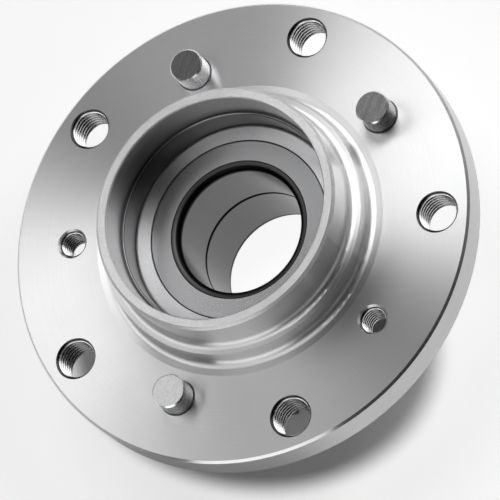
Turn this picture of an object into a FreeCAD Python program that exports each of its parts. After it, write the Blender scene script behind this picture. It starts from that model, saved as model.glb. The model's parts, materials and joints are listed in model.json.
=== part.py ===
import FreeCAD, Part
import math
import os

# Front wheel hub bearing for a passenger car, in millimetres.
# The outer ring is one piece with the wheel flange and turns; the two inner rings sit still on the spindle.
# The origin is the centre of the flange face that carries the brake disc and wheel.
# +Z runs along the spindle, away from the car. +Y runs through one of the wheel bolt holes.

# Wheel flange
flange_r = 69.5
flange_thickness = 10.5
flange_edge_chamfer = 0.7
flange_root_fillet = 5.0

# Threaded holes for the wheel bolts
bolt_count = 5
bolt_circle_r = 60.0
bolt_hole_r = 6.0
bolt_hole_chamfer = 0.2
first_bolt_deg = 90.0

# Second circle, with a hole midway between each two bolts: three locating pins and two disc screws
pin_circle_r = 51.9
pin_steps = (0, 1, 3)
disc_screw_steps = (2, 4)
pin_r = 5.0
pin_height = 7.2
pin_chamfer = 0.4
pin_neck_depth = 0.4
pin_neck_length = 0.5
pin_back_setting = 1.0
pin_hole_chamfer = 0.35
disc_screw_hole_r = 4.0
disc_screw_hole_chamfer = 0.55

# Bore through the hub, which takes the seals and sets the place of the bearing in it and the collar round it
seal_seat_r = 32.0

# Bore of the collar, which takes the grease cap, and the ledge at its foot
cap_ledge_width = 1.05
cap_bore_floor_z = 8.2
cap_bore_chamfer = 0.3

# Stepped collar: the wheel centres on the upper step and the brake disc on the lower one
collar_height = 19.2
collar_wall = 3.2
spigot_chamfer = 0.8
spigot_root_fillet = 2.0
register_step = 3.25
register_height = 6.3
register_root_fillet = 2.3
relief_width = 4.35
relief_depth = 0.35

# Barrel behind the flange
barrel_end_setback = 0.45
barrel_end_chamfer = 0.3

# Bearing: two rows of balls, back to back
bearing_section = 13.5
inner_ring_width = 21.25
inner_ring_face_z = -0.15
inner_ring_corner_radial = 2.5
inner_ring_corner_axial = 1.9
inner_ring_split_chamfer = 0.5
seal_section = 5.1
seal_room_length = 6.5
seal_land_length = 4.75
seal_land_chamfer = 0.15
high_shoulder_step = 1.0
low_shoulder_height = 0.4
outer_land_step = 3.4
ball_r = 9.525 / 2
ball_count = 14
contact_deg = 35.0
groove_conformity = 0.52
raceway_clearance = 0.06

# Window cages
cage_thickness = 2.3
cage_half_length = 5.5
cage_slant_deg = 22.0
cage_rim_height = 0.5
cage_rim_length = 0.9
cage_pocket_clearance = 0.15

# Clip that holds the two inner rings together
clip_thickness = 0.7
clip_half_length = 2.9
clip_hook_length = 0.8
clip_hook_depth = 0.6
clip_hook_clearance = 0.05

# Outboard seal: a pressed steel case with two rubber lips
case_thickness = 1.0
case_length = 4.4
case_bend_r = 0.9
case_edge_gap = 0.3
lip_clearance = 0.06
lip_bond_thickness = 0.6
lip_thickness = 0.3
lip_root_width = 1.4
lip_neck_width = 0.7
lip_neck_depth = 1.5
dust_lip_depth = 0.5
grease_lip_depth = 2.4

# Inboard seal: a case in the barrel and a flinger on the inner ring
flinger_thickness = 0.6
flinger_length = 3.4
flinger_setback = 0.25
flinger_rim_gap = 0.4
rear_case_thickness = 0.8
rear_case_length = 2.8
rear_case_edge_gap = 1.7
rear_case_to_flinger = 0.4
face_lip_setback = 1.0
face_lip_slant = 0.6
face_lip_thickness = 0.5
sleeve_lip_root_width = 0.2
sleeve_lip_depth = 1.0

# Toothed wheel-speed ring on the barrel
sensor_seat_r = 38.6
sensor_shoulder_height = 3.4
sensor_section = 4.8
sensor_tooth_height = 2.1
sensor_length = 10.0
sensor_end_setback = 0.7
sensor_teeth = 48
sensor_tip_share = 0.44
sensor_root_share = 0.54

cap_bore_r = seal_seat_r + cap_ledge_width
spigot_r = cap_bore_r + collar_wall
register_r = spigot_r + register_step
relief_r = register_r + relief_width
barrel_r = sensor_seat_r + sensor_shoulder_height
sensor_tip_r = sensor_seat_r + sensor_section
spindle_r = seal_seat_r - bearing_section
seal_land_r = seal_seat_r - seal_section
high_shoulder_r = seal_land_r - high_shoulder_step
outer_land_r = seal_seat_r - outer_land_step
case_inner_r = seal_land_r + case_edge_gap
rear_case_inner_r = seal_land_r + rear_case_edge_gap

contact = math.radians(contact_deg)
groove_r = groove_conformity * 2 * ball_r
groove_shift = groove_r - ball_r - raceway_clearance
ball_pitch_r = seal_seat_r - groove_r + groove_shift * math.cos(contact)
split_z = inner_ring_face_z - inner_ring_width
ball_row_z = inner_ring_face_z - seal_room_length - ball_r
rear_face_z = split_z - inner_ring_width
barrel_end_z = rear_face_z + barrel_end_setback
inner_groove = (ball_pitch_r + groove_shift * math.cos(contact), ball_row_z - groove_shift * math.sin(contact))
outer_groove = (ball_pitch_r - groove_shift * math.cos(contact), ball_row_z + groove_shift * math.sin(contact))
low_shoulder_r = inner_groove[0] - groove_r + low_shoulder_height
sensor_z = barrel_end_z + sensor_end_setback
sensor_shoulder_z = sensor_z + sensor_length

axis_origin = FreeCAD.Vector(0, 0, 0)
axis_z = FreeCAD.Vector(0, 0, 1)


def on_circle(centre, radius, deg):
    # A point of a circle, in the plane of a profile or seen along the axis.
    turn = math.radians(deg)
    return (centre[0] + radius * math.cos(turn), centre[1] + radius * math.sin(turn))


def arc(centre, radius, start_deg, end_deg):
    # The middle and the end of an arc, as a step of a profile.
    middle = on_circle(centre, radius, (start_deg + end_deg) / 2)
    return (middle, on_circle(centre, radius, end_deg))


def mirrored(point):
    # The same point (r, z) on the other side of the plane between the inner rings.
    return (point[0], 2 * split_z - point[1])


def revolved(start, *steps):
    # Turns a closed profile about the axis. A step is a point (r, z), or two points for an arc.
    edges = []
    first = FreeCAD.Vector(start[0], 0, start[1])
    here = first
    for step in steps + (start,):
        if isinstance(step[0], tuple):
            middle = FreeCAD.Vector(step[0][0], 0, step[0][1])
            there = FreeCAD.Vector(step[1][0], 0, step[1][1])
            edges.append(Part.Arc(here, middle, there).toShape())
        else:
            there = FreeCAD.Vector(step[0], 0, step[1])
            if here.distanceToPoint(there) < 1e-6:
                continue
            edges.append(Part.LineSegment(here, there).toShape())
        here = there
    face = Part.Face(Part.Wire(edges))
    return face.revolve(axis_origin, axis_z, 360)


def set_out(shape, radius, deg):
    # A copy of a shape, moved out along +X and turned to its angle.
    placed = shape.copy()
    placed.translate(FreeCAD.Vector(radius, 0, 0))
    placed.rotate(axis_origin, axis_z, deg)
    return placed


def between_bolts(step):
    # Angle of a hole midway between two bolts. The steps count clockwise, and 0 is left of the first bolt.
    return first_bolt_deg - (step - 0.5) * 360 / bolt_count


def drill(radius, chamfer):
    # Tool for a through hole in the flange, with a chamfer at both faces. It clears the root fillet behind the flange.
    over = 1.0
    back_z = -flange_thickness
    return revolved(
        (0, over),
        (radius + chamfer + over, over),
        (radius, -chamfer),
        (radius, back_z + chamfer),
        (radius + chamfer, back_z),
        (radius + chamfer, back_z - flange_root_fillet),
        (0, back_z - flange_root_fillet),
    )


def raceway_angle(reach):
    # Angle from the bottom of a groove to where it has risen by the given height.
    return math.degrees(math.acos((groove_r - reach) / groove_r))


def hub_flange():
    land_deg = math.degrees(math.acos((outer_land_r - outer_groove[0]) / groove_r))
    land_start = on_circle(outer_groove, groove_r, -land_deg)
    rear_groove = mirrored(outer_groove)
    spigot_root = (spigot_r + spigot_root_fillet, register_height + spigot_root_fillet)
    register_root = (register_r + register_root_fillet, register_root_fillet - relief_depth)
    back_z = -flange_thickness
    flange_root = (barrel_r + flange_root_fillet, back_z - flange_root_fillet)
    body = revolved(
        (cap_bore_r, collar_height - cap_bore_chamfer),
        (cap_bore_r + cap_bore_chamfer, collar_height),
        (spigot_r - spigot_chamfer, collar_height),
        (spigot_r, collar_height - spigot_chamfer),
        (spigot_r, spigot_root[1]),
        arc(spigot_root, spigot_root_fillet, 180, 270),
        (register_r, register_height),
        (register_r, register_root[1]),
        arc(register_root, register_root_fillet, 180, 270),
        (relief_r, 0),
        (flange_r - flange_edge_chamfer, 0),
        (flange_r, -flange_edge_chamfer),
        (flange_r, back_z + flange_edge_chamfer),
        (flange_r - flange_edge_chamfer, back_z),
        (flange_root[0], back_z),
        arc(flange_root, flange_root_fillet, 90, 180),
        (barrel_r, sensor_shoulder_z),
        (sensor_seat_r, sensor_shoulder_z),
        (sensor_seat_r, barrel_end_z + barrel_end_chamfer),
        (sensor_seat_r - barrel_end_chamfer, barrel_end_z),
        (seal_seat_r + barrel_end_chamfer, barrel_end_z),
        (seal_seat_r, barrel_end_z + barrel_end_chamfer),
        (seal_seat_r, rear_groove[1]),
        arc(rear_groove, groove_r, 0, land_deg),
        land_start,
        arc(outer_groove, groove_r, -land_deg, 0),
        (seal_seat_r, cap_bore_floor_z - cap_bore_chamfer),
        (seal_seat_r + cap_bore_chamfer, cap_bore_floor_z),
        (cap_bore_r, cap_bore_floor_z),
    )
    bolt_hole = drill(bolt_hole_r, bolt_hole_chamfer)
    pin_hole = drill(pin_r, pin_hole_chamfer)
    screw_hole = drill(disc_screw_hole_r, disc_screw_hole_chamfer)
    holes = [set_out(bolt_hole, bolt_circle_r, first_bolt_deg + i * 360 / bolt_count) for i in range(bolt_count)]
    holes += [set_out(pin_hole, pin_circle_r, between_bolts(step)) for step in pin_steps]
    holes += [set_out(screw_hole, pin_circle_r, between_bolts(step)) for step in disc_screw_steps]
    return body.cut(holes)


def locating_pin():
    # A pressed dowel. A neck at the flange face lets the disc seat flat against it.
    foot_z = pin_back_setting - flange_thickness
    neck_r = pin_r - pin_neck_depth
    return revolved(
        (0, pin_height),
        (pin_r - pin_chamfer, pin_height),
        (pin_r, pin_height - pin_chamfer),
        (pin_r, 0),
        (neck_r, 0),
        (neck_r, -pin_neck_length),
        (pin_r, -pin_neck_length - pin_neck_depth),
        (pin_r, foot_z + pin_chamfer),
        (pin_r - pin_chamfer, foot_z),
        (0, foot_z),
    )


def inner_ring():
    # The outboard inner ring. Its raceway rises to a high shoulder on the seal side.
    high_deg = raceway_angle(high_shoulder_r - inner_groove[0] + groove_r)
    low_deg = raceway_angle(low_shoulder_height)
    groove_top = on_circle(inner_groove, groove_r, 180 - high_deg)
    land_end_z = inner_ring_face_z - seal_land_length
    corner = (spindle_r + inner_ring_corner_radial, inner_ring_face_z - inner_ring_corner_axial)
    turn = math.sqrt(0.5)
    corner_middle = (
        corner[0] - turn * inner_ring_corner_radial,
        corner[1] + turn * inner_ring_corner_axial,
    )
    hook_outer_z = split_z + clip_half_length + clip_hook_clearance
    hook_inner_z = hook_outer_z - clip_hook_length - 2 * clip_hook_clearance
    hook_floor_r = low_shoulder_r - clip_hook_depth - clip_hook_clearance
    return revolved(
        (corner[0], inner_ring_face_z),
        (seal_land_r - seal_land_chamfer, inner_ring_face_z),
        (seal_land_r, inner_ring_face_z - seal_land_chamfer),
        (seal_land_r, land_end_z),
        (high_shoulder_r, land_end_z - seal_land_r + high_shoulder_r),
        groove_top,
        arc(inner_groove, groove_r, 180 - high_deg, 180 + low_deg),
        (low_shoulder_r, hook_outer_z),
        (hook_floor_r, hook_outer_z),
        (hook_floor_r, hook_inner_z),
        (low_shoulder_r, hook_inner_z),
        (low_shoulder_r, split_z),
        (spindle_r + inner_ring_split_chamfer, split_z),
        (spindle_r, split_z + inner_ring_split_chamfer),
        (spindle_r, corner[1]),
        (corner_middle, (corner[0], inner_ring_face_z)),
    )


def inner_ring_clip():
    outer_r = low_shoulder_r + clip_thickness
    hook_r = low_shoulder_r - clip_hook_depth
    top_z = split_z + clip_half_length
    bottom_z = split_z - clip_half_length
    return revolved(
        (outer_r, top_z),
        (outer_r, bottom_z),
        (hook_r, bottom_z),
        (hook_r, bottom_z + clip_hook_length),
        (low_shoulder_r, bottom_z + clip_hook_length),
        (low_shoulder_r, top_z - clip_hook_length),
        (hook_r, top_z - clip_hook_length),
        (hook_r, top_z),
    )


def ball_places(row_z):
    for i in range(ball_count):
        turn = 2 * math.pi * i / ball_count
        yield FreeCAD.Vector(ball_pitch_r * math.cos(turn), ball_pitch_r * math.sin(turn), row_z)


def cage():
    # A slanted band that opens towards the seal, with one ball pocket after another along its middle.
    slant = math.tan(math.radians(cage_slant_deg))
    half_wall = cage_thickness / 2 / math.cos(math.radians(cage_slant_deg))
    top_r = ball_pitch_r + slant * cage_half_length
    bottom_r = ball_pitch_r - slant * cage_half_length
    rim_r = top_r - half_wall - cage_rim_height
    rim_foot_r = top_r - half_wall - slant * cage_rim_length
    band = revolved(
        (rim_r, ball_row_z + cage_half_length),
        (top_r + half_wall, ball_row_z + cage_half_length),
        (bottom_r + half_wall, ball_row_z - cage_half_length),
        (bottom_r - half_wall, ball_row_z - cage_half_length),
        (rim_foot_r, ball_row_z + cage_half_length - cage_rim_length),
        (rim_r, ball_row_z + cage_half_length - cage_rim_length),
    )
    pocket_r = ball_r + cage_pocket_clearance
    return band.cut([Part.makeSphere(pocket_r, place) for place in ball_places(ball_row_z)])


def seal_case_outboard():
    bend = (seal_seat_r - case_bend_r, -case_bend_r)
    wall_r = seal_seat_r - case_thickness
    return revolved(
        (case_inner_r, 0),
        (bend[0], 0),
        arc(bend, case_bend_r, 90, 0),
        (seal_seat_r, -case_length),
        (wall_r, -case_length),
        (wall_r, -case_thickness),
        (case_inner_r, -case_thickness),
    )


def seal_lip_outboard():
    # Bonded to the inner face of the case. The long lip keeps grease in and the short one keeps dirt out.
    edge_r = seal_land_r + lip_clearance
    wall_r = seal_seat_r - case_thickness
    top_z = -case_thickness
    return revolved(
        (case_inner_r, top_z),
        (wall_r, top_z),
        (wall_r, top_z - lip_bond_thickness),
        (case_inner_r + lip_root_width, top_z - lip_bond_thickness),
        (case_inner_r + lip_neck_width, top_z - lip_neck_depth),
        (edge_r + 2 * lip_thickness, top_z - grease_lip_depth - lip_thickness),
        (edge_r, top_z - grease_lip_depth),
        (case_inner_r + lip_thickness, top_z - lip_neck_depth),
        (case_inner_r + lip_thickness, top_z - dust_lip_depth - lip_thickness),
        (edge_r, top_z - dust_lip_depth),
    )


def flinger_inboard():
    # An angle ring on the inner ring that throws dirt off and gives the rear lips a face to run on.
    outer_z = rear_face_z + flinger_setback
    sleeve_r = seal_land_r + flinger_thickness
    return revolved(
        (seal_land_r, outer_z),
        (seal_land_r, outer_z + flinger_length),
        (sleeve_r, outer_z + flinger_length),
        (sleeve_r, outer_z + flinger_thickness),
        (seal_seat_r - flinger_rim_gap, outer_z + flinger_thickness),
        (seal_seat_r - flinger_rim_gap, outer_z),
    )


def seal_case_inboard():
    outer_z = rear_face_z + flinger_setback + flinger_thickness + rear_case_to_flinger
    inner_z = outer_z + rear_case_length
    wall_r = seal_seat_r - rear_case_thickness
    return revolved(
        (seal_seat_r, outer_z),
        (wall_r, outer_z),
        (wall_r, inner_z - rear_case_thickness),
        (rear_case_inner_r, inner_z - rear_case_thickness),
        (rear_case_inner_r, inner_z),
        (seal_seat_r, inner_z),
    )


def seal_lip_inboard():
    # Bonded under the web of the rear case, with a lip on the flinger's sleeve and one on its face.
    face_z = rear_face_z + flinger_setback + flinger_thickness
    web_z = face_z + rear_case_to_flinger + rear_case_length - rear_case_thickness
    bond_z = web_z - lip_bond_thickness
    edge_r = seal_land_r + flinger_thickness + lip_clearance
    wall_r = seal_seat_r - rear_case_thickness
    face_lip_r = wall_r - face_lip_setback
    return revolved(
        (rear_case_inner_r, web_z),
        (wall_r, web_z),
        (wall_r, bond_z),
        (face_lip_r, bond_z),
        (face_lip_r + face_lip_slant, face_z + lip_clearance),
        (face_lip_r + face_lip_slant - face_lip_thickness, face_z + lip_clearance),
        (face_lip_r - face_lip_thickness, bond_z),
        (rear_case_inner_r + sleeve_lip_root_width, bond_z),
        (edge_r, web_z - sleeve_lip_depth - lip_thickness),
        (edge_r, web_z - sleeve_lip_depth),
    )


def tooth_point(radius, deg):
    # A point of the outline of the toothed ring, at its rear end.
    return FreeCAD.Vector(*on_circle((0, 0), radius, deg), sensor_z)


def sensor_ring():
    # Square-cut teeth, a little wider at the root than at the tip.
    root_r = sensor_tip_r - sensor_tooth_height
    pitch = 360 / sensor_teeth
    tip = sensor_tip_share * pitch / 2
    root = sensor_root_share * pitch / 2
    edges = []
    for i in range(sensor_teeth):
        middle = i * pitch
        rise_foot = tooth_point(root_r, middle - root)
        rise_top = tooth_point(sensor_tip_r, middle - tip)
        fall_top = tooth_point(sensor_tip_r, middle + tip)
        fall_foot = tooth_point(root_r, middle + root)
        next_foot = tooth_point(root_r, middle + pitch - root)
        edges.append(Part.LineSegment(rise_foot, rise_top).toShape())
        edges.append(Part.Arc(rise_top, tooth_point(sensor_tip_r, middle), fall_top).toShape())
        edges.append(Part.LineSegment(fall_top, fall_foot).toShape())
        edges.append(Part.Arc(fall_foot, tooth_point(root_r, middle + pitch / 2), next_foot).toShape())
    blank = Part.Face(Part.Wire(edges)).extrude(FreeCAD.Vector(0, 0, sensor_length))
    bore = Part.makeCylinder(sensor_seat_r, 2 * sensor_length, FreeCAD.Vector(0, 0, sensor_z - sensor_length / 2))
    return blank.cut(bore)


def to_rear(shape):
    # The same shape, mirrored to the other row of the bearing.
    return shape.mirror(FreeCAD.Vector(0, 0, split_z), axis_z)


def save(name, shape):
    if not shape.isValid() or len(shape.Solids) != 1 or shape.Solids[0].Volume <= 0:
        raise ValueError(name + " is not one sound solid")
    shape.Solids[0].exportStep("parts/" + name + ".step")
    print(name, round(shape.Volume, 1), "mm3")


os.makedirs("parts", exist_ok=True)
save("hub_flange", hub_flange())
for number, step in enumerate(pin_steps, start=1):
    save("locating_pin_%d" % number, set_out(locating_pin(), pin_circle_r, between_bolts(step)))
save("sensor_ring", sensor_ring())
save("seal_case_outboard", seal_case_outboard())
save("seal_lip_outboard", seal_lip_outboard())
save("seal_case_inboard", seal_case_inboard())
save("seal_lip_inboard", seal_lip_inboard())
save("flinger_inboard", flinger_inboard())
save("inner_ring_outboard", inner_ring())
save("inner_ring_inboard", to_rear(inner_ring()))
save("inner_ring_clip", inner_ring_clip())
save("cage_outboard", cage())
save("cage_inboard", to_rear(cage()))
for row, row_z in (("outboard", ball_row_z), ("inboard", 2 * split_z - ball_row_z)):
    for number, place in enumerate(ball_places(row_z), start=1):
        save("ball_%s_%02d" % (row, number), Part.makeSphere(ball_r, place))
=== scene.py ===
import bpy
import bmesh
import json
import math
from mathutils import Matrix, Vector


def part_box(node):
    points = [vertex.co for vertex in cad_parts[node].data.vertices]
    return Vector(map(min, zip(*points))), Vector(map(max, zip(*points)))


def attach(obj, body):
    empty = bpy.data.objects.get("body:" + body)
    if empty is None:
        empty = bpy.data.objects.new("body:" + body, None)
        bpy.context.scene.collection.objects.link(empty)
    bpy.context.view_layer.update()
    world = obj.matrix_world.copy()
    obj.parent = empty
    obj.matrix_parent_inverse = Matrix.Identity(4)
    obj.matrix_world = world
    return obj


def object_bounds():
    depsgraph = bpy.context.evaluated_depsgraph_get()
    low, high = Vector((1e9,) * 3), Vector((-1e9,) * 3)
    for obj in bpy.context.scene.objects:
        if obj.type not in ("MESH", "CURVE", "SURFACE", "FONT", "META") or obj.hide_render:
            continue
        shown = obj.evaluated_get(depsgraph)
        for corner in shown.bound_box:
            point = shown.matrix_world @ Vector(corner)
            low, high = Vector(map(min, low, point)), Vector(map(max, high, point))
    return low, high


# Wheel hub bearing, lying on its rear face on a pale studio floor
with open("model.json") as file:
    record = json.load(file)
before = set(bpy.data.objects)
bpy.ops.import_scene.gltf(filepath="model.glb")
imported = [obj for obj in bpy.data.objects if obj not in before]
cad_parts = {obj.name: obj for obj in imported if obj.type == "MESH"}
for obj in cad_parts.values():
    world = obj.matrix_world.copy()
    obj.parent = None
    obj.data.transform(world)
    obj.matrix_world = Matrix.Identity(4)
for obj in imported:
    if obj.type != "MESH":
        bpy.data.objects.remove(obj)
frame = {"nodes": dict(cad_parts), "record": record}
cadLow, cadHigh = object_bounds()
nodes = frame["nodes"]
mounts = {mount["name"]: mount for mount in frame["record"]["mounts"]}
boltHoles = mounts["wheel_bolts"]["dims"]
mm = 0.001
print("frame loaded:", len(nodes), "nodes")


# Material nodes in a few words

usualNoise = (0.3, 0.7)  # most values of a noise pattern lie between these
shinePerShade = 0.4  # paler spots are smoother by this share of their shade


def newFinish(name, colour, roughness, metallic=1.0):
    material = bpy.data.materials.new(name)
    material.use_nodes = True
    tree = material.node_tree
    tree.nodes.clear()
    output = tree.nodes.new("ShaderNodeOutputMaterial")
    shader = tree.nodes.new("ShaderNodeBsdfPrincipled")
    shader.inputs["Base Color"].default_value = (*colour, 1)
    shader.inputs["Roughness"].default_value = roughness
    shader.inputs["Metallic"].default_value = metallic
    tree.links.new(shader.outputs["BSDF"], output.inputs["Surface"])
    return material, tree, shader


def plug(tree, socket, value):
    if isinstance(value, bpy.types.NodeSocket):
        tree.links.new(value, socket)
    else:
        socket.default_value = value


def calc(tree, operation, *values):
    node = tree.nodes.new("ShaderNodeMath")
    node.operation = operation
    for socket, value in zip(node.inputs, values):
        plug(tree, socket, value)
    return node.outputs["Value"]


def vectorCalc(tree, operation, *values):
    node = tree.nodes.new("ShaderNodeVectorMath")
    node.operation = operation
    for socket, value in zip(node.inputs, values):
        plug(tree, socket, value)
    return node.outputs["Value" if operation in ("LENGTH", "DOT_PRODUCT") else "Vector"]


def scaled(tree, vector, factor):
    node = tree.nodes.new("ShaderNodeVectorMath")
    node.operation = "SCALE"
    plug(tree, node.inputs["Vector"], vector)
    plug(tree, node.inputs["Scale"], factor)
    return node.outputs["Vector"]


def separate(tree, vector):
    node = tree.nodes.new("ShaderNodeSeparateXYZ")
    tree.links.new(vector, node.inputs["Vector"])
    return node.outputs


def spread(tree, value, low, high, toLow, toHigh, curve="LINEAR"):
    node = tree.nodes.new("ShaderNodeMapRange")
    node.interpolation_type = curve
    for socket, number in zip(node.inputs, (value, low, high, toLow, toHigh)):
        plug(tree, socket, number)
    return node.outputs["Result"]


def vary(tree, pattern, amount, middle=0):
    # A noise pattern as a number that strays from its middle by this amount
    return spread(tree, pattern, *usualNoise, middle - amount, middle + amount)


def above(tree, value, edge, soft):
    return spread(tree, value, edge - soft, edge + soft, 0, 1, "SMOOTHSTEP")


def below(tree, value, edge, soft):
    return spread(tree, value, edge - soft, edge + soft, 1, 0, "SMOOTHSTEP")


def where(tree, mask, *others):
    # 1 only where all of these masks are
    for other in others:
        mask = calc(tree, "MULTIPLY", mask, other)
    return mask


def towards(tree, value, target, share):
    step = calc(tree, "SUBTRACT", target, value)
    return calc(tree, "ADD", value, calc(tree, "MULTIPLY", share, step))


def noise(tree, point, scale, detail, roughness, output="Fac"):
    node = tree.nodes.new("ShaderNodeTexNoise")
    tree.links.new(point, node.inputs["Vector"])
    node.inputs["Scale"].default_value = scale
    node.inputs["Detail"].default_value = detail
    node.inputs["Roughness"].default_value = roughness
    return node.outputs[output]


def mixColours(tree, share, first, second):
    node = tree.nodes.new("ShaderNodeMix")
    node.data_type = "RGBA"
    for place, value in ((0, share), (6, first), (7, second)):  # the colour mix has its own three sockets
        plug(tree, node.inputs[place], value)
    return node.outputs[2]


def tone(colour, factor):
    return (*(channel * factor for channel in colour), 1)


def shaded(tree, colour, shade, reach=0.5):
    # The colour made paler or darker by the shade, a number round 0
    share = calc(tree, "ADD", 0.5, shade)
    return mixColours(tree, share, tone(colour, 1 - reach), tone(colour, 1 + reach))


def objectPoint(tree, centre=(0, 0, 0)):
    point = tree.nodes.new("ShaderNodeTexCoord").outputs["Object"]
    if any(centre):
        mapping = tree.nodes.new("ShaderNodeMapping")
        mapping.inputs["Location"].default_value = [-value for value in centre]
        tree.links.new(point, mapping.inputs["Vector"])
        point = mapping.outputs["Vector"]
    return point


def aroundAxis(tree, point):
    # Distance from the axis and height along it, also as the two coordinates of a lathe-turned pattern
    height = separate(tree, point)["Z"]
    radius = vectorCalc(tree, "LENGTH", vectorCalc(tree, "MULTIPLY", point, (1, 1, 0)))
    joined = tree.nodes.new("ShaderNodeCombineXYZ")
    tree.links.new(radius, joined.inputs["X"])
    tree.links.new(height, joined.inputs["Y"])
    return radius, height, joined.outputs["Vector"]


def stretchAcrossGrooves(tree, shader, point, amount, wander=None):
    # The grooves run round the axis, so the shine spreads across them
    # Wander, where given, turns the grooves of a ground or sawn face
    around = vectorCalc(tree, "NORMALIZE", vectorCalc(tree, "CROSS_PRODUCT", (0, 0, 1), point))
    if wander:
        around = vectorCalc(tree, "ADD", around, wander)
    turned = tree.nodes.new("ShaderNodeVectorTransform")
    turned.vector_type = "VECTOR"
    turned.convert_from = "OBJECT"
    turned.convert_to = "WORLD"
    tree.links.new(around, turned.inputs["Vector"])
    tree.links.new(turned.outputs["Vector"], shader.inputs["Tangent"])
    shader.inputs["Anisotropic"].default_value = amount
    shader.inputs["Anisotropic Rotation"].default_value = 0.25  # a quarter turn


def roughen(tree, shader, heightInMetres):
    bump = tree.nodes.new("ShaderNodeBump")
    bump.inputs["Strength"].default_value = 1
    bump.inputs["Distance"].default_value = 1
    tree.links.new(heightInMetres, bump.inputs["Height"])
    tree.links.new(bump.outputs["Normal"], shader.inputs["Normal"])


def useFinish(material, *names):
    for name in names:
        for slot in nodes[name].material_slots:
            slot.material = material


# Hub: turned all over, with a ground rim on the collar and forged skin behind the flange

hubFinish = {
    "colour": (0.58, 0.58, 0.585),
    "roughness": 0.34,
    "stretch": 0.86,
    "grooveScale": 2600,
    "grooveDepth": 0.0009 * mm,
    "grooveShade": 0.05,
    "smudgeScale": 38,
    "smudgeShade": 0.045,
}
rimFinish = {  # top of the collar
    "from": 18.5 * mm,
    "shade": 0.02,
    "grainScale": 2200,
    "grainShade": 0.09,
    "wanderScale": 5060,
    "wander": 12.0,
    "dulling": 0.14,
}
cupPaintedShade = {  # painted shade inside the collar: darker walls, a darker seal seat, and a dark line at the corner at its foot
    "outerRadius": 33.3 * mm,
    "to": 18.4 * mm,
    "shade": 0.68,
    "seatRadius": 32.35 * mm,
    "seatTo": 8.15 * mm,
    "seatShade": 0.24,
    "footTo": 8.35 * mm,
    "footShade": 0.10,
}
edgeDarkeningAndBurnish = {  # painted shade on the edges of the bolt holes, burnished edge of the flange
    "holeReach": 0.20 * mm,
    "holePaintedShade": 0.18,
    "outerWidth": 0.72 * mm,
    "outerRoughness": 0.23,
}
skinFinish = {  # barrel behind the flange
    "colour": (0.11, 0.11, 0.115),
    "shades": (0.55, 1.6),
    "roughness": 0.62,
    "outerRadius": 47.2 * mm,
    "innerRadius": 38.0 * mm,
    "from": -10.7 * mm,
    "to": -41.9 * mm,
    "scaleSize": 420,
    "depth": 0.05 * mm,
}


def fromBoltHole(tree, point, radius):
    # Distance from the middle of the nearest bolt hole; the first hole is on the Y axis
    parts = separate(tree, point)
    half = math.pi / boltHoles["count"]
    turned = calc(tree, "WRAP", calc(tree, "ARCTAN2", parts["X"], parts["Y"]), half, -half)
    sideways = calc(tree, "MULTIPLY", radius, calc(tree, "SINE", turned))
    outwards = calc(tree, "MULTIPLY", radius, calc(tree, "COSINE", turned))
    outwards = calc(tree, "SUBTRACT", outwards, boltHoles["pcd_mm"] / 2 * mm)
    squares = calc(
        tree, "ADD",
        calc(tree, "MULTIPLY", sideways, sideways),
        calc(tree, "MULTIPLY", outwards, outwards),
    )
    return calc(tree, "SQRT", squares)


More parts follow.
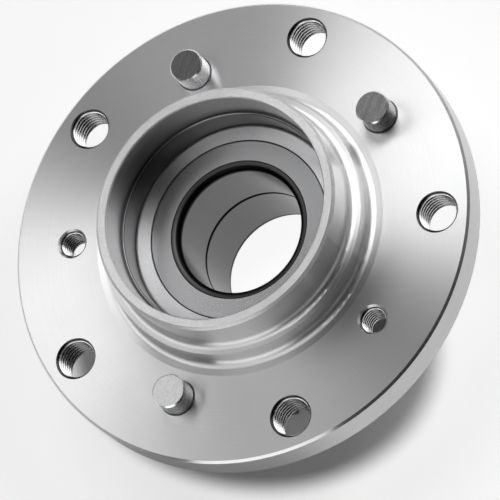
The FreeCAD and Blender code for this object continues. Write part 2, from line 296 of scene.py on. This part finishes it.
def hubSteel():
    finish, rim, cup, edge, skin = hubFinish, rimFinish, cupPaintedShade, edgeDarkeningAndBurnish, skinFinish
    material, tree, shader = newFinish("hubSteel", finish["colour"], finish["roughness"])
    point = objectPoint(tree)
    radius, height, lathe = aroundAxis(tree, point)
    grooves = noise(tree, lathe, finish["grooveScale"], detail=3, roughness=0.6)
    smudges = noise(tree, point, finish["smudgeScale"], detail=4, roughness=0.55)
    grain = noise(tree, point, rim["grainScale"], detail=3, roughness=0.65)
    scale = noise(tree, point, skin["scaleSize"], detail=4, roughness=0.6)

    onRim = above(tree, height, rim["from"], soft=0.1 * mm)
    inCup = where(
        tree,
        below(tree, radius, cup["outerRadius"], soft=0.2 * mm),
        below(tree, height, cup["to"], soft=0.1 * mm),
    )
    onSeat = where(tree, inCup, below(tree, height, cup["seatTo"], soft=0.03 * mm))
    pastLip = where(tree, inCup, above(tree, radius, cup["seatRadius"], soft=0.05 * mm))
    atFoot = where(tree, pastLip, below(tree, height, cup["footTo"], soft=0.05 * mm))
    fromEdge = calc(tree, "SUBTRACT", fromBoltHole(tree, point, radius), boltHoles["hole_r_mm"] * mm)
    # painted shade: a dark ring round each bolt hole's edge
    onHoleEdge = where(
        tree,
        below(tree, calc(tree, "ABSOLUTE", fromEdge), edge["holeReach"], soft=0.05 * mm),
        above(tree, height, -edge["holeReach"], soft=0.03 * mm),
    )
    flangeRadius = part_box("hub_flange")[1].x
    onOuterEdge = where(
        tree,
        above(tree, radius, flangeRadius - edge["outerWidth"], soft=0.03 * mm),
        above(tree, height, -edge["outerWidth"], soft=0.03 * mm),
    )
    onSkin = where(
        tree,
        below(tree, radius, skin["outerRadius"], soft=0.3 * mm),
        above(tree, radius, skin["innerRadius"], soft=0.3 * mm),
        below(tree, height, skin["from"], soft=0.15 * mm),
        above(tree, height, skin["to"], soft=0.15 * mm),
    )

    shade = calc(
        tree, "ADD",
        vary(tree, grooves, finish["grooveShade"]),
        vary(tree, smudges, finish["smudgeShade"]),
    )
    rimShade = vary(tree, grain, rim["grainShade"], rim["shade"])
    shade = calc(tree, "ADD", shade, calc(tree, "MULTIPLY", onRim, rimShade))
    turned = shaded(tree, finish["colour"], shade)
    # painted shade: darker inside the collar, darkest on the seal seat and at the corner's foot, and dark
    # round the bolt holes' edges
    for mask, factor in (
        (pastLip, cup["shade"]),
        (atFoot, cup["footShade"]),
        (onSeat, cup["seatShade"]),
        (onHoleEdge, edge["holePaintedShade"]),
    ):
        turned = mixColours(tree, mask, turned, tone(finish["colour"], factor))
    forged = mixColours(tree, scale, *(tone(skin["colour"], factor) for factor in skin["shades"]))
    tree.links.new(mixColours(tree, onSkin, turned, forged), shader.inputs["Base Color"])

    roughness = calc(tree, "SUBTRACT", finish["roughness"], calc(tree, "MULTIPLY", shade, shinePerShade))
    roughness = calc(tree, "ADD", roughness, calc(tree, "MULTIPLY", onRim, rim["dulling"]))
    roughness = towards(tree, roughness, edge["outerRoughness"], onOuterEdge)
    roughness = towards(tree, roughness, skin["roughness"], onSkin)
    tree.links.new(roughness, shader.inputs["Roughness"])

    relief = calc(
        tree, "ADD",
        calc(tree, "MULTIPLY", grooves, finish["grooveDepth"]),
        calc(tree, "MULTIPLY", calc(tree, "MULTIPLY", onSkin, scale), skin["depth"]),
    )
    roughen(tree, shader, relief)
    jumble = noise(tree, point, rim["wanderScale"], detail=2, roughness=0.5, output="Color")
    wander = vectorCalc(tree, "SUBTRACT", jumble, (0.5, 0.5, 0.5))
    wander = scaled(tree, wander, calc(tree, "MULTIPLY", onRim, rim["wander"]))
    stretchAcrossGrooves(tree, shader, point, finish["stretch"], wander)
    return material


useFinish(hubSteel(), "hub_flange")


# Locating pins: ground round, each pin's cut end and side with its own painted shade, a painted highlight on
# the thin chamfers

pinFinishAndPaintedLight = {
    "colour": (0.62, 0.62, 0.63),
    "roughness": 0.27,
    "roughnessVary": 0.05,
    "stretch": 0.5,
    "endFrom": 0.93,  # how far a face looks up, where the cut end and the chamfer begin
    "chamferFrom": 0.35,
    "ends": {1: (120, 0.30), 2: (118, 0.62), 3: (12, 0.95)},  # direction across the saw marks, painted shade of the cut end
    # painted shade of each pin's side
    "paintedSideShades": {1: 0.95, 2: 0.42, 3: 0.50},
    # painted highlight on the chamfers
    "paintedChamferHighlight": 1.35,
    "sawPull": 30,  # how much stronger than the round grooves the saw marks are
    "scratchScale": 1400,
    "scratchShape": (1, 0.12, 1),
    "scratchShade": 0.05,
    "scratchDepth": 0.0006 * mm,
}


def pinSteel(number, centre):
    finish = pinFinishAndPaintedLight
    material, tree, shader = newFinish("pinSteel%d" % number, finish["colour"], finish["roughness"])
    point = objectPoint(tree, centre)
    upwards = separate(tree, tree.nodes.new("ShaderNodeTexCoord").outputs["Normal"])["Z"]
    onEnd = above(tree, upwards, finish["endFrom"], soft=0.03)
    onChamfer = where(
        tree,
        above(tree, upwards, finish["chamferFrom"], soft=0.05),
        calc(tree, "SUBTRACT", 1, onEnd),
    )
    longer = vectorCalc(tree, "MULTIPLY", point, finish["scratchShape"])
    scratches = noise(tree, longer, finish["scratchScale"], detail=4, roughness=0.6)
    # painted shade and highlight: each pin has its own copy of this material, with its own end and side shade
    # and a paler chamfer
    sawDirection, endPaintedShade = finish["ends"][number]
    side = tone(finish["colour"], finish["paintedSideShades"][number])
    colour = mixColours(tree, onEnd, side, tone(finish["colour"], endPaintedShade))
    colour = mixColours(tree, onChamfer, colour, tone(finish["colour"], finish["paintedChamferHighlight"]))
    marks = vary(tree, scratches, finish["scratchShade"], 1)
    tree.links.new(scaled(tree, colour, marks), shader.inputs["Base Color"])
    roughness = vary(tree, scratches, -finish["roughnessVary"], finish["roughness"])
    tree.links.new(roughness, shader.inputs["Roughness"])
    roughen(tree, shader, calc(tree, "MULTIPLY", scratches, finish["scratchDepth"]))
    across = math.radians(sawDirection)
    sawn = (-finish["sawPull"] * math.sin(across), finish["sawPull"] * math.cos(across), 0)
    stretchAcrossGrooves(tree, shader, point, finish["stretch"], scaled(tree, sawn, onEnd))
    return material


for number in (1, 2, 3):
    pinLow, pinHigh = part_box("locating_pin_%d" % number)
    useFinish(pinSteel(number, (pinLow + pinHigh) / 2), "locating_pin_%d" % number)
print("hub and pins finished")


# Inner rings: fine-ground faces, the bore and rounded corners darkened as painted shade, black lines of
# painted shade at the corners' edges and feet, a black joint between the two rings

ringFinishAndPaintedShade = {
    "colour": (0.50, 0.50, 0.51),
    "roughness": 0.25,
    "dulling": 0.15,
    "stretch": 0.20,
    "grooveScale": 3600,
    "grooveDepth": 0.0005 * mm,
    "grooveShade": 0.04,
    "markScale": 24,
    "markShade": 0.05,
    "boreReach": 0.55 * mm,
    # painted shade of the bore and of the rounded corners
    "borePaintedShade": 0.24,
    "boreContrast": 0.3,
    "cornerPaintedShade": 0.09,
    "cornerReach": 2.45 * mm,
    "cornerDepth": 1.9 * mm,
    # black lines: the joint between the rings, and painted shade at the corners' outer edges and feet
    "lineShade": 0.012,
    "lineHeight": 0.75 * mm,
    "edgeLine": 0.26 * mm,
    "footReach": 1.05 * mm,
}


def ringSteel():
    finish = ringFinishAndPaintedShade
    boreRadius = mounts["spindle_bore"]["dims"]["r_mm"] * mm
    ringLow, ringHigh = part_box("inner_ring_outboard")
    jointHeight, ringWidth = ringLow.z, ringHigh.z - ringLow.z
    material, tree, shader = newFinish("ringSteel", finish["colour"], finish["roughness"])
    point = objectPoint(tree)
    radius, height, lathe = aroundAxis(tree, point)
    grooves = noise(tree, lathe, finish["grooveScale"], detail=3, roughness=0.6)
    outward = vectorCalc(tree, "NORMALIZE", vectorCalc(tree, "MULTIPLY", point, (1, 1, 0)))
    marks = noise(tree, outward, finish["markScale"], detail=5, roughness=0.7)
    shade = calc(
        tree, "ADD",
        vary(tree, grooves, finish["grooveShade"]),
        vary(tree, marks, finish["markShade"]),
    )

    fromJoint = calc(tree, "ABSOLUTE", calc(tree, "SUBTRACT", height, jointHeight))
    cornerRadius = boreRadius + finish["cornerReach"]
    cornerStart = ringWidth - finish["cornerDepth"]
    overCorner = above(tree, fromJoint, cornerStart, soft=0.1 * mm)
    onCorner = where(tree, below(tree, radius, cornerRadius, soft=0.06 * mm), overCorner)
    atBore = below(tree, radius, boreRadius + finish["boreReach"], soft=0.05 * mm)
    inJoint = where(tree, atBore, below(tree, fromJoint, finish["lineHeight"], soft=0.05 * mm))
    # painted shade: black lines at the foot and at the outer edge of each corner
    atFoot = where(
        tree,
        below(tree, radius, boreRadius + finish["footReach"], soft=0.08 * mm),
        above(tree, fromJoint, cornerStart - finish["lineHeight"], soft=0.08 * mm),
    )
    atEdge = where(
        tree,
        below(tree, radius, cornerRadius, soft=0.04 * mm),
        above(tree, radius, cornerRadius - finish["edgeLine"], soft=0.04 * mm),
        overCorner,
    )
    black = calc(tree, "MAXIMUM", calc(tree, "MAXIMUM", inJoint, atFoot), atEdge)

    ground = shaded(tree, finish["colour"], shade)
    boreColour = tone(finish["colour"], finish["borePaintedShade"])[:3]
    shadedBore = shaded(tree, boreColour, shade, finish["boreContrast"])
    colour = mixColours(tree, atBore, ground, shadedBore)
    colour = mixColours(tree, onCorner, colour, tone(finish["colour"], finish["cornerPaintedShade"]))
    colour = mixColours(tree, black, colour, tone((1, 1, 1), finish["lineShade"]))
    tree.links.new(colour, shader.inputs["Base Color"])
    roughness = calc(tree, "SUBTRACT", finish["roughness"], calc(tree, "MULTIPLY", shade, shinePerShade))
    dulled = calc(tree, "MULTIPLY", calc(tree, "MAXIMUM", onCorner, black), finish["dulling"])
    tree.links.new(calc(tree, "ADD", roughness, dulled), shader.inputs["Roughness"])
    roughen(tree, shader, calc(tree, "MULTIPLY", grooves, finish["grooveDepth"]))
    stretchAcrossGrooves(tree, shader, point, finish["stretch"])
    return material


useFinish(ringSteel(), "inner_ring_outboard", "inner_ring_inboard")
print("inner rings finished")


# Sheet steel of the seals with a painted highlight on the outer edge, spring steel of the clip, sintered
# sensor ring

sealFinishAndHighlight = {
    "colour": (0.56, 0.56, 0.57),
    "roughness": 0.30,
    "stretch": 0.86,
    "grainScale": 2300,
    "grainDepth": 0.0004 * mm,
    "grainShade": 0.08,
    # painted highlight: a pale, less metallic band round the outer edge
    "edgeWidth": 0.45 * mm,
    "paintedEdgeHighlight": 0.85,
    "edgeMatt": 0.6,
}
clipFinish = {
    "colour": (0.50, 0.50, 0.52),
    "roughness": 0.30,
    "grainScale": 900,
    "grainDepth": 0.001 * mm,
    "grainShade": 0.15,
}
sensorFinish = {
    "colour": (0.33, 0.33, 0.34),
    "roughness": 0.48,
    "grainScale": 1900,
    "grainDepth": 0.006 * mm,
    "grainShade": 0.30,
}
blotches = {"perGrain": 16, "shade": 0.05}  # wide faint marks over the grain of all three


def grainySteel(name, finish, edgeRadius=None):
    material, tree, shader = newFinish(name, finish["colour"], finish["roughness"])
    point = objectPoint(tree)
    grain = noise(tree, point, finish["grainScale"], detail=3, roughness=0.65)
    wide = noise(tree, point, finish["grainScale"] / blotches["perGrain"], detail=3, roughness=0.5)
    shade = calc(
        tree, "ADD",
        vary(tree, grain, finish["grainShade"]),
        vary(tree, wide, blotches["shade"]),
    )
    colour = shaded(tree, finish["colour"], shade)
    if edgeRadius:
        radius = aroundAxis(tree, point)[0]
        # painted highlight on the outer edge
        onPaintedHighlight = above(tree, radius, edgeRadius - finish["edgeWidth"], soft=0.1 * mm)
        colour = mixColours(tree, onPaintedHighlight, colour, tone((1, 1, 1), finish["paintedEdgeHighlight"]))
        tree.links.new(spread(tree, onPaintedHighlight, 0, 1, 1, 1 - finish["edgeMatt"]), shader.inputs["Metallic"])
        stretchAcrossGrooves(tree, shader, point, finish["stretch"])
    tree.links.new(colour, shader.inputs["Base Color"])
    roughness = calc(tree, "SUBTRACT", finish["roughness"], calc(tree, "MULTIPLY", shade, shinePerShade))
    tree.links.new(roughness, shader.inputs["Roughness"])
    roughen(tree, shader, calc(tree, "MULTIPLY", grain, finish["grainDepth"]))
    return material


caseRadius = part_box("seal_case_outboard")[1].x
sealSteel = grainySteel("sealSteel", sealFinishAndHighlight, caseRadius)
useFinish(sealSteel, "seal_case_outboard", "seal_case_inboard", "flinger_inboard")
useFinish(grainySteel("clipSteel", clipFinish), "inner_ring_clip")
useFinish(grainySteel("sensorSteel", sensorFinish), "sensor_ring")
print("seals, clip and sensor ring finished")


# Inside the bearing: polished balls, nylon cages, rubber lips

ballFinish = {
    "colour": (0.82, 0.82, 0.84),
    "shades": (0.9, 1.05),
    "roughness": 0.05,
    "roughest": 0.16,
    "trackScale": 420,
    "tracks": (0.35, 0.75),
}
cageFinish = {
    "colour": (0.42, 0.27, 0.13),
    "shades": (0.7, 1.25),
    "roughness": 0.48,
    "translucence": 0.08,
    "lightDepth": 0.6 * mm,
    "fibreScale": 700,
    "fibreDepth": 0.015 * mm,
}
rubberFinish = {
    "colour": (0.022, 0.022, 0.023),
    "shades": (0.7, 1.6),
    "roughness": 0.55,
    "roughnessVary": 0.10,
    "grainScale": 1600,
    "grainDepth": 0.006 * mm,
}


def patternColour(tree, shader, pattern, finish):
    colour = mixColours(tree, pattern, *(tone(finish["colour"], factor) for factor in finish["shades"]))
    tree.links.new(colour, shader.inputs["Base Color"])


def ballSteel():
    finish = ballFinish
    material, tree, shader = newFinish("ballSteel", finish["colour"], finish["roughness"])
    marks = noise(tree, objectPoint(tree), finish["trackScale"], detail=5, roughness=0.7)
    patternColour(tree, shader, marks, finish)
    roughness = spread(tree, marks, *finish["tracks"], finish["roughness"], finish["roughest"])
    tree.links.new(roughness, shader.inputs["Roughness"])
    return material


def cageNylon():
    finish = cageFinish
    material, tree, shader = newFinish("cageNylon", finish["colour"], finish["roughness"], 0)
    fibres = noise(tree, objectPoint(tree), finish["fibreScale"], detail=4, roughness=0.7)
    patternColour(tree, shader, fibres, finish)
    shader.inputs["Subsurface Weight"].default_value = finish["translucence"]
    shader.inputs["Subsurface Scale"].default_value = finish["lightDepth"]
    roughen(tree, shader, calc(tree, "MULTIPLY", fibres, finish["fibreDepth"]))
    return material


def lipRubber():
    finish = rubberFinish
    material, tree, shader = newFinish("lipRubber", finish["colour"], finish["roughness"], 0)
    grain = noise(tree, objectPoint(tree), finish["grainScale"], detail=3, roughness=0.6)
    patternColour(tree, shader, grain, finish)
    roughness = vary(tree, grain, finish["roughnessVary"], finish["roughness"])
    tree.links.new(roughness, shader.inputs["Roughness"])
    roughen(tree, shader, calc(tree, "MULTIPLY", grain, finish["grainDepth"]))
    return material


useFinish(ballSteel(), *(name for name in nodes if name.startswith("ball_")))
useFinish(cageNylon(), "cage_outboard", "cage_inboard")
useFinish(lipRubber(), "seal_lip_outboard", "seal_lip_inboard")
print("bearing insides finished")


# Thread ridges, one helix in each tapped hole

flangeThickness = -2 * mounts["disc_screw_right"]["pos_m"][2]  # that mount is at half the thickness
firstBoltAngle = 90
boltThread = {  # widths are shares of the pitch
    "pitch": 1.5 * mm,
    "ridgeHeight": 0.81 * mm,
    "rootWidth": 0.88,
    "crestWidth": 0.25,
    "edge": 0.2 * mm,
    "sunk": 0.03 * mm,
    "fadeTurns": 0.3,
    "stepsPerTurn": 56,
}
screwThread = {
    "pitch": 1.25 * mm,
    "ridgeHeight": 0.66 * mm,
    "rootWidth": 0.88,
    "crestWidth": 0.25,
    "edge": 0.55 * mm,
    "sunk": 0.03 * mm,
    "fadeTurns": 0.3,
    "stepsPerTurn": 48,
}
# painted light: the crests are pale and less metallic, a painted highlight, and the roots near black, a
# painted shade
threadFinishAndPaintedLight = {
    "colour": (0.88, 0.88, 0.89),
    "shades": (0.93, 1.05),
    "rootPaintedShade": 0.02,
    "brightFrom": 0.50,
    "roughness": 0.23,
    "roughnessVary": 0.07,
    "matt": 0.35,
    "marksScale": 1800,
}


def threadSteel():
    finish = threadFinishAndPaintedLight
    material, tree, shader = newFinish("threadSteel", finish["colour"], finish["roughness"])
    marks = noise(tree, objectPoint(tree), finish["marksScale"], detail=3, roughness=0.6)
    roughness = vary(tree, marks, finish["roughnessVary"], finish["roughness"])
    tree.links.new(roughness, shader.inputs["Roughness"])
    crest = tree.nodes.new("ShaderNodeAttribute")
    crest.attribute_name = "crest"
    # painted highlight on the crests, painted shade in the roots
    bright = spread(tree, crest.outputs["Fac"], finish["brightFrom"], 1, 0, 1)
    crestHighlight = mixColours(tree, marks, *(tone(finish["colour"], factor) for factor in finish["shades"]))
    dark = tone(finish["colour"], finish["rootPaintedShade"])
    tree.links.new(mixColours(tree, bright, dark, crestHighlight), shader.inputs["Base Color"])
    tree.links.new(spread(tree, bright, 0, 1, 1, 1 - finish["matt"]), shader.inputs["Metallic"])
    return material


def threadRidge(name, thread, holeRadius, holePlace, material):
    bm = bmesh.new()
    crestShare = bm.verts.layers.float.new("crest")
    rootRadius = holeRadius + thread["sunk"]
    crestRadius = holeRadius - thread["ridgeHeight"]
    halfRoot = thread["rootWidth"] / 2 * thread["pitch"]
    halfCrest = thread["crestWidth"] / 2 * thread["pitch"]
    top = -thread["edge"]
    bottom = -flangeThickness + thread["edge"]
    turns = (top - bottom) / thread["pitch"]
    steps = round(turns * thread["stepsPerTurn"])
    corners = (
        (rootRadius, halfRoot),
        (crestRadius, halfCrest),
        (crestRadius, -halfCrest),
        (rootRadius, -halfRoot),
    )
    section = bm.faces.new([bm.verts.new((radius, 0, top + offset)) for radius, offset in corners])
    bmesh.ops.spin(
        bm, geom=[section, *section.edges, *section.verts], cent=(0, 0, 0), axis=(0, 0, 1),
        angle=turns * math.tau, dvec=(0, 0, (bottom - top) / steps), steps=steps, use_merge=False,
    )
    for vert in bm.verts:  # both ends fade into the wall of the hole
        here = math.atan2(vert.co.y, vert.co.x) / math.tau
        down = (top - vert.co.z) / thread["pitch"]
        along = here + round(down - here)
        full = min(max(min(along, turns - along) / thread["fadeTurns"], 0), 1)
        flat = Vector((vert.co.x, vert.co.y, 0))
        vert[crestShare] = 1 if flat.length < (rootRadius + crestRadius) / 2 else 0
        vert.co += flat.normalized() * (rootRadius - flat.length) * (1 - full)
        vert.co.z = min(max(vert.co.z, bottom), top)  # cut flush where the hole's chamfers begin
    bmesh.ops.recalc_face_normals(bm, faces=bm.faces)
    bmesh.ops.translate(bm, verts=bm.verts, vec=holePlace)
    mesh = bpy.data.meshes.new(name)
    bm.to_mesh(mesh)
    bm.free()
    mesh.materials.append(material)
    ridge = bpy.data.objects.new(name, mesh)
    bpy.context.scene.collection.objects.link(ridge)
    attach(ridge, "hub")


cutSteel = threadSteel()
for number in range(boltHoles["count"]):
    angle = math.radians(firstBoltAngle) + number * math.tau / boltHoles["count"]
    place = Matrix.Rotation(angle, 3, "Z") @ Vector((boltHoles["pcd_mm"] / 2 * mm, 0, 0))
    threadRidge("boltThread%d" % (number + 1), boltThread, boltHoles["hole_r_mm"] * mm, place, cutSteel)
for side in ("right", "left"):
    hole = mounts["disc_screw_" + side]
    place = Vector((hole["pos_m"][0], hole["pos_m"][1], 0))
    name = "discScrewThread" + side.title()
    threadRidge(name, screwThread, hole["dims"]["r_mm"] * mm, place, cutSteel)
print("threads cut")


# Studio: white table, soft lamps in a dark room, a pale strip of wall all round at table height

floorSettings = {
    "size": 4.0,
    "colour": (0.90, 0.90, 0.90),
    "roughness": 0.9,
    "glow": 0.74,
}
paintedShadowSettings = {  # painted shadow: the glow is weak in an ellipse near the part, which darkens the table there more than the lamps' own shadow
    "glow": 0.085,
    "centre": (-5.5 * mm, -22.7 * mm),
    "shape": (0.72, 1, 0),
    "full": 39.4 * mm,
    "faded": 47.2 * mm,
}
paintedBoreLight = {"glow": 0.91, "radius": 20.9 * mm}  # painted light: the table glows brighter under the bore
darkReflectionSettings = {  # painted reflection: a dark patch of table that only the metal mirrors
    "centre": (-2 * mm, -84 * mm),
    "full": 35 * mm,
    "faded": 72 * mm,
}
lampDistance = 1.6
lampSettings = {  # the first three show only in the metal, the table lamps only light the table
    "keyLamp": {"azimuth": 86, "elevation": 50, "size": 1.60, "power": 21.0, "onlyIn": "glossy"},
    "sideLamp": {"azimuth": 190, "elevation": 47, "size": 1.10, "power": 4.8, "onlyIn": "glossy"},
    "lowLamp": {"azimuth": 280, "elevation": 11, "size": 1.50, "power": 9.0, "onlyIn": "glossy"},
    "tableLeft": {"azimuth": 120, "elevation": 65, "size": 0.9, "power": 3.5, "onlyIn": "diffuse"},
    "tableRight": {"azimuth": 40, "elevation": 45, "size": 0.5, "power": 3.2, "onlyIn": "diffuse"},
}
roomSettings = {"wall": 0.90, "wallTop": 3.5, "ceiling": 0.03, "wallFade": 7}  # heights in degrees
roomPatches = [  # soft patches on the room's walls: the angles from their middle where they are full and gone
    {"azimuth": 240, "elevation": 65, "full": 10, "faded": 28, "level": 1.15},
    {"azimuth": 172, "elevation": 45, "full": 12, "faded": 25, "level": 0.48},
    {"azimuth": -14, "elevation": 48, "full": 36, "faded": 47, "level": 0.0},  # dark
    {"azimuth": 270, "elevation": 75, "full": 7, "faded": 15, "level": 2.2},
    {"azimuth": 70, "elevation": 65, "full": 6, "faded": 14, "level": 2.2},
]


def direction(azimuth, elevation):
    azimuth, elevation = math.radians(azimuth), math.radians(elevation)
    return Vector((
        math.cos(azimuth) * math.cos(elevation), math.sin(azimuth) * math.cos(elevation), math.sin(elevation)
    ))


def onTable(centre):
    return (*centre, cadLow.z)


def makeFloor():
    bm = bmesh.new()
    bmesh.ops.create_grid(bm, x_segments=1, y_segments=1, size=floorSettings["size"] / 2)
    bmesh.ops.translate(bm, verts=bm.verts, vec=(0, 0, cadLow.z))
    mesh = bpy.data.meshes.new("floor")
    bm.to_mesh(mesh)
    bm.free()
    floor = bpy.data.objects.new("floor", mesh)
    bpy.context.scene.collection.objects.link(floor)
    material, tree, shader = newFinish("floorPaper", floorSettings["colour"], floorSettings["roughness"], 0)
    shader.inputs["Specular IOR Level"].default_value = 0

    # painted shadow: weak glow in an ellipse near the part
    fromShadow = objectPoint(tree, onTable(paintedShadowSettings["centre"]))
    fromShadow = vectorCalc(tree, "LENGTH", vectorCalc(tree, "MULTIPLY", fromShadow, paintedShadowSettings["shape"]))
    glow = spread(
        tree, fromShadow, paintedShadowSettings["full"], paintedShadowSettings["faded"],
        paintedShadowSettings["glow"], floorSettings["glow"], "SMOOTHSTEP",
    )
    radius = aroundAxis(tree, objectPoint(tree))[0]
    # painted light: strong glow under the bore
    inBore = below(tree, radius, paintedBoreLight["radius"], soft=0.1 * mm)
    glow = spread(tree, inBore, 0, 1, glow, paintedBoreLight["glow"])

    rays = tree.nodes.new("ShaderNodeLightPath").outputs
    # painted reflection: the metal sees a dark patch of table here
    fromDarkReflection = vectorCalc(tree, "LENGTH", objectPoint(tree, onTable(darkReflectionSettings["centre"])))
    pastDarkReflection = spread(tree, fromDarkReflection, darkReflectionSettings["full"], darkReflectionSettings["faded"], 0, 1, "SMOOTHSTEP")
    mirrored = calc(tree, "MULTIPLY", rays["Is Glossy Ray"], pastDarkReflection)
    seen = calc(tree, "MAXIMUM", rays["Is Camera Ray"], mirrored)
    seen = calc(tree, "MAXIMUM", seen, rays["Is Transmission Ray"])
    shader.inputs["Emission Color"].default_value = (1, 1, 1, 1)
    tree.links.new(calc(tree, "MULTIPLY", seen, glow), shader.inputs["Emission Strength"])
    mesh.materials.append(material)


def makeLamp(name, settings):
    lamp = bpy.data.lights.new(name, "AREA")
    lamp.shape = "DISK"
    lamp.size = settings["size"]
    lamp.energy = settings["power"]
    holder = bpy.data.objects.new(name, lamp)
    holder.visible_diffuse = settings["onlyIn"] == "diffuse"
    holder.visible_glossy = settings["onlyIn"] == "glossy"
    holder.visible_camera = False
    toLamp = direction(settings["azimuth"], settings["elevation"])
    holder.location = toLamp * lampDistance
    holder.rotation_mode = "QUATERNION"
    holder.rotation_quaternion = toLamp.to_track_quat("Z", "Y")
    bpy.context.scene.collection.objects.link(holder)


def makeRoom():
    world = bpy.data.worlds.new("studioRoom")
    world.use_nodes = True
    tree = world.node_tree
    tree.nodes.clear()
    output = tree.nodes.new("ShaderNodeOutputWorld")
    light = tree.nodes.new("ShaderNodeBackground")
    look = vectorCalc(tree, "NORMALIZE", tree.nodes.new("ShaderNodeTexCoord").outputs["Generated"])
    wallTop, wallFade = (math.sin(math.radians(roomSettings[key])) for key in ("wallTop", "wallFade"))
    level = spread(
        tree, separate(tree, look)["Z"], wallTop, wallFade,
        roomSettings["wall"], roomSettings["ceiling"], "SMOOTHSTEP",
    )
    for patch in roomPatches:
        facing = vectorCalc(tree, "DOT_PRODUCT", look, direction(patch["azimuth"], patch["elevation"]))
        full, faded = (math.cos(math.radians(patch[key])) for key in ("full", "faded"))
        level = towards(tree, level, patch["level"], spread(tree, facing, faded, full, 0, 1, "SMOOTHSTEP"))
    tree.links.new(level, light.inputs["Color"])
    tree.links.new(light.outputs["Background"], output.inputs["Surface"])
    world.cycles_visibility.diffuse = False
    bpy.context.scene.world = world


makeFloor()
for lampName, settings in lampSettings.items():
    makeLamp(lampName, settings)
makeRoom()
print("studio set")


# Camera at the photograph's place: a long lens, rolled, looking down on the part; angles in degrees

cameraSettings = {
    "azimuth": 65.75,
    "elevation": 61.05,
    "roll": -48.81,
    "distance": 1.168,
    "aim": (0.0042, -0.0044, -0.0031),
    "lens": 294.2,
    "sensor": 36,
    "nearest": 0.05,
    "furthest": 20,
}


def makeCamera():
    camera = bpy.data.cameras.new("camera")
    camera.lens = cameraSettings["lens"]
    camera.sensor_width = cameraSettings["sensor"]
    camera.clip_start = cameraSettings["nearest"]
    camera.clip_end = cameraSettings["furthest"]
    holder = bpy.data.objects.new("camera", camera)
    azimuth = math.radians(cameraSettings["azimuth"])
    elevation = math.radians(cameraSettings["elevation"])
    back = Vector((
        math.sin(azimuth) * math.cos(elevation), -math.cos(azimuth) * math.cos(elevation), math.sin(elevation)
    ))
    level = Vector((math.cos(azimuth), math.sin(azimuth), 0))
    right = Matrix.Rotation(math.radians(cameraSettings["roll"]), 3, back) @ level
    turn = Matrix((right, back.cross(right), back)).transposed()
    holder.rotation_mode = "QUATERNION"
    holder.rotation_quaternion = turn.to_quaternion()
    holder.location = Vector(cameraSettings["aim"]) + back * cameraSettings["distance"]
    bpy.context.scene.collection.objects.link(holder)
    bpy.context.scene.camera = holder


makeCamera()
bpy.context.scene.view_settings.view_transform = "Standard"
print("camera set")
